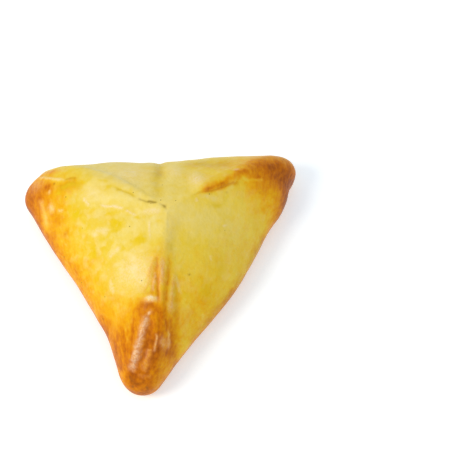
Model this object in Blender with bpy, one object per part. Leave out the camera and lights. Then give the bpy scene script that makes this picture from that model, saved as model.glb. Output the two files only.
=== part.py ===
"""A closed three-cornered sfiha: bread dough folded over its filling and baked, as one solid.

The pie stands on a flat underside. Its plan is a triangle with three rounded corners. Three
seams climb from the corners to a low peak, and a full, rounded panel lies between each two.
The back panel laps over the left and right seams, and the front seam is pinched into pleats.
Metres, +Z up. The origin is on the underside, in the middle of the plan's own box. +X runs
from the left corner to the right corner, and -Y points to the front corner.
"""

import math
from collections import namedtuple

import bmesh
import bpy
import numpy as np
from mathutils import Vector, noise

MM = 0.001
NAME = "sfiha"

# ---------------------------------------------------------------- plan
# The corners run anticlockwise, seen from above. Each is a disc that touches its tip.
# Fullness is the exponent of the seam's fall from the peak: 1 is a cone's, 2 a dome's.
# A seam's bend moves its middle sideways, anticlockwise where it is positive.
Corner = namedtuple("Corner", "tip radius fullness seam_bend")
RIGHT = Corner(tip=(53.8 * MM, 3.8 * MM), radius=7.8 * MM, fullness=1.62, seam_bend=0.8 * MM)
LEFT = Corner(tip=(-56.0 * MM, -5.2 * MM), radius=11.8 * MM, fullness=1.62, seam_bend=-4.1 * MM)
FRONT = Corner(tip=(-7.8 * MM, -98.4 * MM), radius=7.9 * MM, fullness=1.31, seam_bend=1.5 * MM)
CORNERS = (RIGHT, LEFT, FRONT)
PANEL_FULLNESS = (1.48, 1.28, 1.26)      # of the back, left and right panels

# A swelling moves the waist's outline outwards, or inwards where its depth is negative.
# It stands at a fraction of one side: side 0 is the back, side 1 the left, side 2 the right.
Swelling = namedtuple("Swelling", "side at reach depth")
SWELLINGS = (
    Swelling(side=0, at=0.25, reach=13 * MM, depth=1.0 * MM),
    Swelling(side=0, at=0.75, reach=13 * MM, depth=1.4 * MM),
    Swelling(side=1, at=0.15, reach=12 * MM, depth=0.5 * MM),
    Swelling(side=1, at=0.54, reach=28 * MM, depth=-2.4 * MM),
    Swelling(side=1, at=0.77, reach=8 * MM, depth=-2.3 * MM),
    Swelling(side=2, at=0.50, reach=30 * MM, depth=4.2 * MM),
    Swelling(side=2, at=0.89, reach=7 * MM, depth=0.8 * MM),
    Swelling(side=2, at=1.00, reach=5 * MM, depth=-1.7 * MM),
)

# ---------------------------------------------------------------- height
PEAK = (2.7 * MM, -32.0 * MM, 36.5 * MM)
WAIST_HEIGHT = 9.0 * MM          # the widest level, above the underside
WAIST_FULLNESS = 1.85            # how round the sides turn in above the waist: 2 is an ellipse
UNDERSIDE_INSET = 5.0 * MM       # from the waist in to the edge of the flat underside
CORNER_REACH = 16 * MM           # how far round the outline a corner's shape reaches

# ---------------------------------------------------------------- relief
# A fold is a ridge, or a groove where its height is negative. Its ends are plan offsets from
# the peak, its bend moves its middle to the left of the way it runs, and it dies away over
# its fade at both ends. Lean makes its right flank the steeper one.
Fold = namedtuple("Fold", "start end bend width height fade lean", defaults=(0.0,))
FOLDS = (
    # the back panel's lap over the left seam, and the crack under its edge
    Fold((-47 * MM, 21.0 * MM), (-6 * MM, 3.2 * MM), 4.9 * MM, 2.4 * MM, 0.8 * MM, 9 * MM, 0.35),
    Fold((-25 * MM, 14.0 * MM), (1 * MM, -2.0 * MM), -1.0 * MM, 1.2 * MM, -0.9 * MM, 4 * MM, -0.3),
    # the same over the right seam
    Fold((9 * MM, 7.2 * MM), (36 * MM, 25.5 * MM), 0.3 * MM, 2.8 * MM, 0.9 * MM, 7 * MM, 0.35),
    Fold((8 * MM, 5.0 * MM), (28 * MM, 16.2 * MM), -0.9 * MM, 1.3 * MM, -0.9 * MM, 4 * MM, -0.3),
    # the crease down the middle of the back panel
    Fold((-5 * MM, 38.0 * MM), (-4 * MM, 3.0 * MM), 1.5 * MM, 2.0 * MM, -1.3 * MM, 8 * MM),
    # the front seam's pleats, from left to right: crests and the furrows between them
    Fold((-4.6 * MM, -20.5 * MM), (-9.4 * MM, -38.0 * MM), -0.4 * MM, 1.3 * MM, 0.5 * MM, 4 * MM),
    Fold((-5.3 * MM, -25.5 * MM), (-6.4 * MM, -37.0 * MM), 0.0 * MM, 1.2 * MM, -0.5 * MM, 4 * MM),
    Fold((-3.6 * MM, -18.5 * MM), (-4.8 * MM, -55.0 * MM), 0.8 * MM, 1.2 * MM, 0.8 * MM, 4 * MM),
    Fold((-1.7 * MM, -18.0 * MM), (-2.2 * MM, -54.0 * MM), 0.3 * MM, 1.3 * MM, -0.9 * MM, 7 * MM),
    Fold((1.0 * MM, -17.0 * MM), (-3.2 * MM, -61.0 * MM), 0.9 * MM, 1.6 * MM, 1.0 * MM, 8 * MM),
    Fold((-6.6 * MM, -38.0 * MM), (-14.0 * MM, -61.0 * MM), -0.7 * MM, 2.4 * MM, 1.1 * MM, 5 * MM),
    Fold((-5.6 * MM, -38.0 * MM), (-9.2 * MM, -61.0 * MM), 0.1 * MM, 1.4 * MM, -1.1 * MM, 6 * MM),
    Fold((3.2 * MM, -30.0 * MM), (1.2 * MM, -57.0 * MM), 0.5 * MM, 2.2 * MM, -0.7 * MM, 7 * MM),
    # a tuck where the front corner was pinched shut
    Fold((-6.2 * MM, -58.0 * MM), (-8.5 * MM, -67.0 * MM), 0.4 * MM, 1.3 * MM, 0.6 * MM, 3 * MM),
    # faint folds that run in from the left and right corners
    Fold((-54 * MM, 21.0 * MM), (-38 * MM, 13.0 * MM), -1.5 * MM, 2.2 * MM, -0.6 * MM, 5 * MM),
    Fold((46 * MM, 24.0 * MM), (34 * MM, 15.0 * MM), 1.0 * MM, 2.4 * MM, -0.5 * MM, 5 * MM),
)

# A lump is a soft round rise at a plan offset from the peak.
Lump = namedtuple("Lump", "at reach height")
LUMPS = (
    Lump(at=(3 * MM, 20 * MM), reach=5 * MM, height=0.7 * MM),
    Lump(at=(7 * MM, 13 * MM), reach=4 * MM, height=0.5 * MM),
    Lump(at=(-15 * MM, 20 * MM), reach=8 * MM, height=0.7 * MM),
    Lump(at=(-8 * MM, -22 * MM), reach=9 * MM, height=0.6 * MM),
    Lump(at=(16 * MM, -20 * MM), reach=11 * MM, height=0.5 * MM),
)

# Unevenness of the baked dough: the size of its swells, and how far they stand out.
Swell = namedtuple("Swell", "size height")
SWELLS = (Swell(size=15 * MM, height=0.5 * MM), Swell(size=6 * MM, height=0.18 * MM))

# ---------------------------------------------------------------- mesh
# One row of points lies on the waist, and one on the edge of the flat underside.
COLUMNS = 120
ROWS = 40
TOP_SHARE = 0.80                 # share of the rows that lie above the waist
EDGE_SHARE = 0.15                # share of the rows that round the lower edge
CORNER_CROWDING = 1.2            # extra columns at a corner, against a side's middle
OUTLINE_STEPS = 60

CRUST_COLOUR = (0.80, 0.50, 0.11)
CRUST_ROUGHNESS = 0.38


def unit(vectors):
    """Vectors at length one, along the last axis."""
    return vectors / np.linalg.norm(vectors, axis=-1, keepdims=True)


def bump(distance, reach):
    """A smooth hump: one at distance zero, and nearly nothing at twice the reach."""
    return np.exp(-((distance / reach) ** 2))


def ramp(value):
    """A smooth climb from nothing at zero to one at one."""
    value = np.clip(value, 0, 1)
    return value * value * (3 - 2 * value)


def side_normal(centre_a, radius_a, centre_b, radius_b):
    """Outward normal of the tangent that runs outside two discs, going anticlockwise."""
    along = centre_b - centre_a
    length = np.linalg.norm(along)
    along = along / length
    outward = np.array((along[1], -along[0]))
    lean = (radius_a - radius_b) / length
    return outward * math.sqrt(1 - lean * lean) + along * lean


def band_round_corners():
    """The band round the three corner discs: its points, and marks of its tips and sides.

    A mark is a distance along the outline. A side has two, for its ends.
    """
    tips = np.array([corner.tip for corner in CORNERS])
    radii = [corner.radius for corner in CORNERS]
    centres = tips + unit(tips.mean(axis=0) - tips) * np.array(radii)[:, None]
    following = (1, 2, 0)
    normals = [side_normal(centres[k], radii[k], centres[n], radii[n]) for k, n in enumerate(following)]
    points, tip_index, side_index = [], [], []
    for k, n in enumerate(following):
        start = math.atan2(normals[k - 1][1], normals[k - 1][0])
        turn = (math.atan2(normals[k][1], normals[k][0]) - start) % (2 * math.pi)
        tip_index.append(len(points) + OUTLINE_STEPS // 2)
        for angle in np.linspace(start, start + turn, OUTLINE_STEPS + 1):
            points.append(centres[k] + radii[k] * np.array((math.cos(angle), math.sin(angle))))
        side_index.append((len(points) - 1, len(points) - 1 + OUTLINE_STEPS))
        side_end = centres[n] + radii[n] * normals[k]
        points.extend(np.linspace(points[-1], side_end, OUTLINE_STEPS + 1)[1:-1])
    points.append(points[0])
    points = np.array(points)
    marks = np.concatenate(([0], np.cumsum(np.linalg.norm(np.diff(points, axis=0), axis=1))))
    return points, marks, marks[tip_index], marks[np.array(side_index)]


def distance_round(length, marks, mark):
    """Distance along a closed outline of this length from marks on it to one, the shorter way."""
    ahead = (marks - mark) % length
    return np.minimum(ahead, length - ahead)


class Form:
    """The smooth pie, before its relief."""

    def __init__(self):
        self.outline, self.marks, self.tips, sides = band_round_corners()
        offset = np.zeros(len(self.marks))
        for swelling in SWELLINGS:
            start, end = sides[swelling.side]
            centre = start + (end - start) * swelling.at
            distance = distance_round(self.marks[-1], self.marks, centre)
            offset += swelling.depth * bump(distance, swelling.reach)
        ahead = np.roll(self.outline[:-1], -1, axis=0)
        behind = np.roll(self.outline[:-1], 1, axis=0)
        along = unit(ahead - behind)
        along = np.vstack((along, along[:1]))
        outward = np.stack((along[:, 1], -along[:, 0]), axis=1)
        self.swelling = outward * offset[:, None]
        waist = self.outline + self.swelling
        middle = (waist.min(axis=0) + waist.max(axis=0)) / 2
        self.outline = self.outline - middle
        self.peak = np.array(PEAK) - (*middle, 0)
        crowd = 1 + CORNER_CROWDING * np.max(self.nearness(self.marks), axis=0)
        steps = np.diff(self.marks) * (crowd[1:] + crowd[:-1]) / 2
        self.turns = np.concatenate(([0], np.cumsum(steps)))
        self.turns /= self.turns[-1]

    def nearness(self, mark):
        """How near marks on the outline are to each corner's tip: one at the tip, else less."""
        return [bump(distance_round(self.marks[-1], mark, tip), CORNER_REACH) for tip in self.tips]

    def along_outline(self, mark, values):
        """Values on the outline, read at marks on it."""
        return np.stack([np.interp(mark, self.marks, values[:, axis]) for axis in (0, 1)], axis=1)

    def fullness(self, mark, nearness):
        """The exponent of the fall from the peak at marks on the outline."""
        side = np.searchsorted(self.tips, mark, side="right") - 1
        corner = sum(near * corner.fullness for near, corner in zip(nearness, CORNERS))
        return np.array(PANEL_FULLNESS)[side] * (1 - sum(nearness)) + corner

    def place(self, turn, row):
        """Positions at fractions of a turn round the pie, and of the way from the peak down."""
        mark = np.interp(turn % 1.0, self.turns, self.marks)
        nearness = self.nearness(mark)
        climb = np.clip(row / TOP_SHARE, 0, 1) * math.pi / 2
        tuck = np.clip((row - TOP_SHARE) / EDGE_SHARE, 0, 1) * math.pi / 2
        inwards = np.clip((row - TOP_SHARE - EDGE_SHARE) / (1 - TOP_SHARE - EDGE_SHARE), 0, 1)
        out = (np.sin(climb) ** (2 / self.fullness(mark, nearness)))[:, None]
        rise = np.maximum(np.cos(climb), 0) ** (2 / WAIST_FULLNESS)
        arm = self.along_outline(mark, self.outline) - self.peak[:2]
        outward = unit(arm)
        sideways = np.stack((-outward[:, 1], outward[:, 0]), axis=1)
        bend = sum(near * corner.seam_bend for near, corner in zip(nearness, CORNERS))
        plan = self.peak[:2] + arm * out
        plan += self.along_outline(mark, self.swelling) * out ** 2
        plan += sideways * bend[:, None] * np.sin(math.pi * out) ** 2
        plan -= outward * (UNDERSIDE_INSET * (1 - np.cos(tuck)))[:, None]
        plan += (self.peak[:2] - plan) * inwards[:, None]
        height = WAIST_HEIGHT * (1 - np.sin(tuck)) + (self.peak[2] - WAIST_HEIGHT) * rise
        return np.column_stack((plan, height))


def fold_height(fold, plan):
    """How far a fold stands out, at plan offsets from the peak."""
    start = np.array(fold.start)
    run = np.array(fold.end) - start
    length = np.linalg.norm(run)
    run = run / length
    along = (plan - start) @ run
    across = (plan - start) @ np.array((-run[1], run[0]))
    across = across - fold.bend * np.sin(math.pi * np.clip(along / length, 0, 1))
    width = fold.width * np.where(across < 0, 1 - fold.lean, 1 + fold.lean)
    ends = ramp(along / fold.fade) * ramp((length - along) / fold.fade)
    return fold.height * bump(across, width) * ends


def relief(places, peak):
    """How far the surface stands out from the smooth form, at places on it."""
    plan = places[:, :2] - peak[:2]
    out = sum(fold_height(fold, plan) for fold in FOLDS)
    for lump in LUMPS:
        out += lump.height * bump(np.linalg.norm(plan - lump.at, axis=1), lump.reach)
    for swell in SWELLS:
        out += swell.height * np.array([noise.noise(Vector(place / swell.size)) for place in places])
    return out


def build_crust():
    """The pie's mesh: a sphere whose vertices are moved to the form, and then to the relief."""
    form = Form()
    crust = bmesh.new()
    bmesh.ops.create_uvsphere(crust, u_segments=COLUMNS, v_segments=ROWS, radius=1)
    ball = np.array([vertex.co for vertex in crust.verts])
    turn = np.arctan2(ball[:, 1], ball[:, 0]) / (2 * math.pi)
    row = np.arccos(np.clip(ball[:, 2], -1, 1)) / math.pi
    places = form.place(turn, row)
    for vertex, place in zip(crust.verts, places):
        vertex.co = place
    crust.normal_update()
    above_floor = ramp(places[:, 2] / WAIST_HEIGHT)
    for vertex, out in zip(crust.verts, relief(places, form.peak) * above_floor):
        vertex.co += vertex.normal * out
    bmesh.ops.triangulate(crust, faces=crust.faces)
    mesh = bpy.data.meshes.new(NAME)
    crust.to_mesh(mesh)
    crust.free()
    mesh.shade_smooth()
    return mesh


def crust_material():
    """Golden egg-washed crust."""
    material = bpy.data.materials.new("egg_washed_crust")
    material.use_nodes = True
    shader = material.node_tree.nodes["Principled BSDF"]
    shader.inputs["Base Color"].default_value = (*CRUST_COLOUR, 1)
    shader.inputs["Roughness"].default_value = CRUST_ROUGHNESS
    shader.inputs["Metallic"].default_value = 0
    return material


def main():
    """Clear the scene and build the pie."""
    for item in list(bpy.data.objects):
        bpy.data.objects.remove(item)
    collection = bpy.data.collections.new(NAME)
    bpy.context.scene.collection.children.link(collection)
    pie = bpy.data.objects.new(NAME, build_crust())
    pie.data.materials.append(crust_material())
    collection.objects.link(pie)


main()
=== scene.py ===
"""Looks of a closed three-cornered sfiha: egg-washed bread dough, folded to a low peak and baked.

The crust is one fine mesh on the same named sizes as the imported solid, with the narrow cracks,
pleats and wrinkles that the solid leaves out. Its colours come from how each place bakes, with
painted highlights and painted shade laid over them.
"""

from __future__ import annotations

import logging
import math
from dataclasses import dataclass, field
from enum import Enum

import bmesh
import bpy
import numpy as np
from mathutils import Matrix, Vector, noise


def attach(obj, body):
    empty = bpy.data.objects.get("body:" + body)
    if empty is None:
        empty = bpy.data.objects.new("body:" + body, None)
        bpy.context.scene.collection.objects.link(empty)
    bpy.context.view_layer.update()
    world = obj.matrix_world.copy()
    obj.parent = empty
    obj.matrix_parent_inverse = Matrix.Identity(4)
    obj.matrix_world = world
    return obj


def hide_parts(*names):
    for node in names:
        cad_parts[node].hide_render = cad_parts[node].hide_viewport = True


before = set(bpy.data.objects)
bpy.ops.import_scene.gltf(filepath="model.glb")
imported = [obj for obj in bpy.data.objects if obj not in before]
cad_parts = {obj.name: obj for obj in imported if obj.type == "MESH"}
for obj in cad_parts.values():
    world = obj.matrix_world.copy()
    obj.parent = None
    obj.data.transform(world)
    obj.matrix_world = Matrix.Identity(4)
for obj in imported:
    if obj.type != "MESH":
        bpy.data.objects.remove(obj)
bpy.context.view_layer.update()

LOG = logging.getLogger("sfiha")
MM = 0.001

# Plan offsets and the crust's sizes are in millimetres, and MM makes them metres.
Plan = tuple[float, float]
Span = tuple[float, float]


class Tint(Enum):
    """What the crust's mesh stores at each of its points, for the material to read."""

    BAKE = "bake"        # how brown it is: 0 is pale dough, 1 is dark red-brown
    PAINTED_SHADE = "painted_shade"      # how much painted shade lies on the surface: in cracks, creases, pits and hollows, and along the right panel's lower edge
    BARE_AND_HIGHLIGHT = "bare_and_highlight"        # how thin the egg wash is, over pale floury dough, and where painted highlights lie on the glossy wash
    YOLK = "yolk"        # how thick the egg wash stands, in a deep lemon yellow
    BRUSH = "brush"      # how much the brush's dabs show


class Side(Enum):
    """The three panels, in the order in which the outline passes them."""

    BACK = 0
    LEFT = 1
    RIGHT = 2


def bump(distance: np.ndarray, reach: float | np.ndarray) -> np.ndarray:
    """A smooth hump: one at distance zero, and nearly nothing at twice the reach."""
    return np.exp(-((distance / reach) ** 2))


def ramp(value: np.ndarray) -> np.ndarray:
    """A smooth climb from nothing at zero to one at one."""
    value = np.clip(value, 0, 1)
    return value * value * (3 - 2 * value)


def unit(vectors: np.ndarray) -> np.ndarray:
    """Vectors at length one, along the last axis."""
    return vectors / np.linalg.norm(vectors, axis=-1, keepdims=True)


def linear(code: str) -> tuple[float, float, float, float]:
    """Turn an sRGB hex colour into linear light.

    Args:
        code: Six hex digits, such as "F2C94C".

    Returns:
        Red, green, blue and an alpha of one.
    """
    shares = [int(code[k : k + 2], 16) / 255 for k in (0, 2, 4)]
    light = [s / 12.92 if s <= 0.04045 else ((s + 0.055) / 1.055) ** 2.4 for s in shares]
    return (light[0], light[1], light[2], 1.0)


# ---------------------------------------------------------------- features of the crust

STREAK_STEPS = 8                               # points of its line to each stretch of its path
STREAK_REACH = 3.0                             # widths from its line where a streak has died away
WANDER = ((1.0, 1.1, 2.0), (0.6, 2.7, 0.0))    # share, radians a millimetre and start of its waves


@dataclass(frozen=True, kw_only=True)
class Feature:
    """Something that shows on the crust: its height in millimetres, and what it adds to each tint."""

    height: float = 0.0
    bake: float = 0.0
    painted_shade: float = 0.0
    bare_and_highlight: float = 0.0
    yolk: float = 0.0
    brush: float = 0.0

    def weight(self, plan: np.ndarray) -> np.ndarray:
        """How strongly the feature shows.

        Args:
            plan: Plan offsets from the peak, one row a place.

        Returns:
            One in the feature's middle, falling to zero away from it.
        """
        raise NotImplementedError


@dataclass(frozen=True)
class Streak(Feature):
    """A soft line along a smooth path of plan offsets from the peak.

    It dies away over its fade at both ends. Its lean makes its right flank the steeper one, and
    its wander is how far it strays to the side.
    """

    path: tuple[Plan, ...]
    width: float
    fade: float = 4.0
    lean: float = 0.0
    wander: float = 0.0

    def line(self) -> np.ndarray:
        """Draw the path smooth.

        Returns:
            The points of a smooth curve through the path.
        """
        points = np.array(self.path)
        padded = np.vstack((2 * points[0] - points[1], points, 2 * points[-1] - points[-2]))
        share = np.linspace(0, 1, STREAK_STEPS, endpoint=False)[:, None]
        curve = []
        for a, b, c, d in zip(padded, padded[1:], padded[2:], padded[3:]):
            pull = (c - a) * share + (2 * a - 5 * b + 4 * c - d) * share**2
            curve.append(b + 0.5 * (pull + (3 * b - a - 3 * c + d) * share**3))
        return np.vstack((*curve, points[-1:]))

    def weight(self, plan: np.ndarray) -> np.ndarray:
        """How strongly the streak shows.

        Args:
            plan: Plan offsets from the peak, one row a place.

        Returns:
            One on the streak's line, falling to zero away from it.
        """
        line = self.line()
        reach = STREAK_REACH * self.width * (1 + abs(self.lean)) + self.wander
        near = np.all((plan > line.min(axis=0) - reach) & (plan < line.max(axis=0) + reach), axis=1)
        marks = np.concatenate(([0], np.cumsum(np.linalg.norm(np.diff(line, axis=0), axis=1))))
        closest = np.full(near.sum(), np.inf)
        along = np.zeros(near.sum())
        across = np.zeros(near.sum())
        for start, end, mark in zip(line, line[1:], marks):
            run = end - start
            length = np.linalg.norm(run)
            offset = plan[near] - start
            share = np.clip(offset @ run / length**2, 0, 1)
            distance = np.linalg.norm(offset - share[:, None] * run, axis=1)
            nearer = distance < closest
            closest = np.where(nearer, distance, closest)
            along = np.where(nearer, mark + share * length, along)
            left = np.sign(offset @ np.array((-run[1], run[0])))
            across = np.where(nearer, distance * left, across)
        waves = sum(share * np.sin(along * pace + start) for share, pace, start in WANDER)
        across = across + self.wander * waves / sum(share for share, _, _ in WANDER)
        width = self.width * np.where(across < 0, 1 - self.lean, 1 + self.lean)
        ends = ramp(along / self.fade) * ramp((marks[-1] - along) / self.fade)
        weight = np.zeros(len(plan))
        weight[near] = bump(across, width) * ends
        return weight


@dataclass(frozen=True)
class Spot(Feature):
    """A soft patch at a plan offset from the peak: an ellipse, turned by degrees."""

    at: Plan
    reach: Plan
    turn: float = 0.0

    def weight(self, plan: np.ndarray) -> np.ndarray:
        """How strongly the patch shows.

        Args:
            plan: Plan offsets from the peak, one row a place.

        Returns:
            One in the patch's middle, falling to zero away from it.
        """
        angle = math.radians(self.turn)
        along = np.array((math.cos(angle), math.sin(angle)))
        across = np.array((-along[1], along[0]))
        offset = plan - np.array(self.at)
        return bump(np.hypot(offset @ along / self.reach[0], offset @ across / self.reach[1]), 1.0)


# Wide zones that the oven browned, and where the brush was heaviest.
OVEN_ZONES: tuple[Feature, ...] = (
    # the right corner and the right panel
    Spot((46, 25), (22, 16), bake=0.54),
    Spot((55, 30), (7, 11), bake=0.17),
    Spot((15, 25), (15, 8), turn=12, bake=0.2),
    Spot((18, 9), (12, 7), turn=15, bake=0.14, yolk=0.08),
    Spot((26, -9), (7, 10), turn=-30, bake=0.1),
    Spot((9, -22), (11, 16), turn=-20, bake=0.13, yolk=0.08),
    Spot((10, -42), (16, 24), bake=0.13),
    # the left corner and the left panel's lower edge
    Spot((-58, 18), (19, 11), turn=-20, bake=0.43),
    Spot((-61, 19), (5, 9), bake=0.1),
    Spot((-52, 25), (8, 3), turn=-10, bake=0.08),
    Streak(((-52, 4), (-46, -5), (-38, -16), (-30, -32), (-22, -48)), 2.8, fade=6, bake=0.14),
    Spot((-6, 24), (5, 6), bake=0.07),
    # the front corner, and the way down to it
    Spot((-10, -24), (6, 14), turn=8, bake=0.16),
    Streak(((-2.5, -10), (-3.5, -26), (-4.5, -42)), 5.5, fade=10, bake=0.27),
    Streak(((-5.5, -35), (-7.5, -42), (-10, -56), (-11, -72)), 7, bake=0.44),
    Spot((-3, -57), (6, 10), turn=-15, bake=0.3),
    Spot((-14, -40), (7, 8), bake=0.02),
    Streak(((-30, -36), (-21, -48), (-17, -58), (-13, -68)), 4, fade=5, bake=0.19),
    # where the brush's dabs show most
    Spot((-26, -4), (18, 24), turn=20, brush=0.7),
    Spot((-13, -22), (9, 9), brush=0.5),
    Spot((8, 22), (14, 10), brush=0.3),
)

# Where the sides and the panels swell or draw in, beyond the smooth form.
SHAPE: tuple[Feature, ...] = (
    # the left side, from its corner to the front corner
    Spot((-61, 19), (3, 5), height=0.8),
    Spot((-57, 29), (4, 3), height=-0.7),
    Spot((-51, 1), (7, 9), turn=60, height=-0.5),
    Spot((-31, -32), (5, 7), height=-0.8),
    Spot((-23.5, -43), (3.5, 5), height=0.7),
    Spot((-17.5, -61), (4, 6), height=0.6),
    # the back side by the left corner
    Spot((-36, 28), (8, 4), height=0.8),
    # the right side, from its corner down
    Spot((44, 12), (3, 7), height=0.7),
    Spot((31, -13), (5, 9), height=-0.45),
    Spot((12.5, -41), (4, 6), height=-0.6),
    # the right and left panels' bellies
    Spot((16, -20), (11, 11), height=0.4),
    Spot((-8, -22), (9, 9), height=0.5),
)

# The back panel's lap over the left and right seams, and its own crease.
SEAMS: tuple[Feature, ...] = (
    # the lap's crest over the left seam, worn soft, and the shade behind it
    Streak(((-28, 12.2), (-23, 12.6), (-17.5, 9.6), (-12.5, 6.2)), 1.2, fade=3, bake=0.12),
    Streak(((-36, 21), (-27.5, 17.8), (-21, 14.6), (-14, 11)), 1.1, fade=5, painted_shade=0.06),
    # the crack under the lap's edge, darkened with painted shade
    Streak(
        ((-22.4, 12.1), (-20.3, 10.3), (-16, 8.1), (-12, 5.1)),
        0.5, fade=3, wander=0.1, height=-0.35, bake=0.16, painted_shade=0.2,
    ),
    Streak(
        ((-12.4, 5.4), (-10.5, 4.2), (-8.4, 3.3), (-5.8, 2.9), (-3.6, 2.2)),
        0.55, fade=2, height=-0.3, bake=0.04, painted_shade=0.4,
    ),
    Streak(((-8.6, 3.4), (-6.4, 3), (-4.4, 2.5)), 0.6, fade=0.8, height=-0.1, bake=0.04, painted_shade=0.35),
    Streak(((-4.2, 2.4), (-1.6, 0.9), (0.2, -1.3)), 0.5, fade=1.5, wander=0.15, height=-0.2, painted_shade=0.2),
    Spot((-1.4, 0.9), (0.9, 0.7), height=-0.3, painted_shade=0.5),
    # the lap's edge over the right seam, browned, with a sharp lower edge darkened with painted shade
    Streak(((9, 7.2), (18, 12.2), (27, 18), (36, 25.5)), 2.6, fade=7, lean=0.35, height=0.8),
    Streak(
        ((8.8, 6.1), (13.4, 8.6), (17.4, 9.6), (22, 12.6), (26, 15), (30, 16.2)),
        0.5, fade=3, lean=-0.3, height=-0.35, bake=0.1, painted_shade=0.1,
    ),
    # the crease down the middle of the back panel, with painted shade in it
    Streak(
        ((-5.8, 46), (-5, 36), (-4.6, 30), (-4, 25), (-3.4, 20), (-2.6, 16)),
        1.9, fade=6, height=-0.7, bake=0.1, painted_shade=0.15, yolk=0.3,
    ),
    Streak(((-4.6, 24), (-4.6, 12), (-4, 3)), 2.2, fade=5, height=-0.25, bake=0.1, painted_shade=0.12, yolk=0.2),
)

# The front seam: its ridge, its pleats and the furrows between them.
PLEATS: tuple[Feature, ...] = (
    # the shade on both sides of the ridge
    Streak(((0.9, -1), (0.3, -9), (-1, -17), (-2.3, -23)), 1.6, height=-0.22, bare_and_highlight=0.06),
    Streak(((1.4, -1), (2, -4), (1.6, -9), (0.6, -14), (-0.6, -19)), 1.7, lean=0.45, painted_shade=0.13),
    # the wedge: a pale triangle between an olive edge and an orange crease, with a thin painted highlight in
    # it and a white painted highlight below it
    Streak(((-3.9, -19.5), (-3.9, -24), (-3.6, -30), (-3, -38)), 0.7, fade=1.5, height=-0.25, bake=0.13),
    Streak(((-4.2, -19.5), (-5.8, -26), (-7.8, -34.5)), 1.1, fade=2, height=-0.1, bake=0.3, yolk=0.6),
    Spot((-5.4, -30), (1.6, 4.8), turn=-10, height=0.25, bake=0.05),
    Streak(((-4.5, -26), (-4.9, -29.5), (-5.3, -33.6)), 0.5, fade=1.5, wander=0.2, height=0.1, bare_and_highlight=0.2),
    Spot((-8, -33.5), (4.4, 3), bake=0.17, yolk=0.4),
    Spot((-6.1, -36), (1.9, 0.85), turn=-6, height=0.5, bake=-0.3, bare_and_highlight=1),
    # the second pleat: a tan crest, a golden furrow and a pale crest; painted highlights lie along the
    # crests, and painted shade on the tan crest and in the grooves
    Streak(((-2, -19), (-1.9, -28), (-2.3, -40)), 0.9, height=0.3, bake=0.05, painted_shade=0.1),
    Streak(((-2.1, -19.5), (-2, -26), (-2.2, -33)), 0.9, bare_and_highlight=0.26),
    Streak(
        ((1.1, -18), (0.5, -26), (-0.2, -34), (-1.2, -43)),
        0.95, fade=6, height=-0.2, bake=0.19, painted_shade=0.03,
    ),
    Streak(((2.6, -24), (2.1, -31), (1.1, -41)), 0.8, fade=3, height=0.2, bake=0.1, bare_and_highlight=0.14),
    Spot((1, -37.6), (0.7, 1.4), bare_and_highlight=0.1),
    Streak(((3, -25.5), (4.2, -29.3), (5.6, -33)), 0.5, fade=2, height=0.1, bake=-0.04, bare_and_highlight=0.2),
    Streak(((4.4, -24), (3.8, -34), (3.3, -44), (1.8, -58)), 1.5, fade=6, height=-0.4, bake=0.13, painted_shade=0.1),
    Streak(((1.4, -40.5), (1.6, -45), (1.2, -50), (-0.6, -56)), 1, fade=3, height=-0.35, bake=0.12),
    Streak(((-0.4, -42), (-0.2, -45), (0.1, -47.5)), 0.5, fade=1.5, height=-0.2, bake=0.12),
    Streak(
        ((0.6, -45.5), (0.8, -49), (0.4, -52.4)),
        0.4, fade=1.5, wander=0.1, height=0.08, bake=-0.16, bare_and_highlight=0.14,
    ),
)

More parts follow.
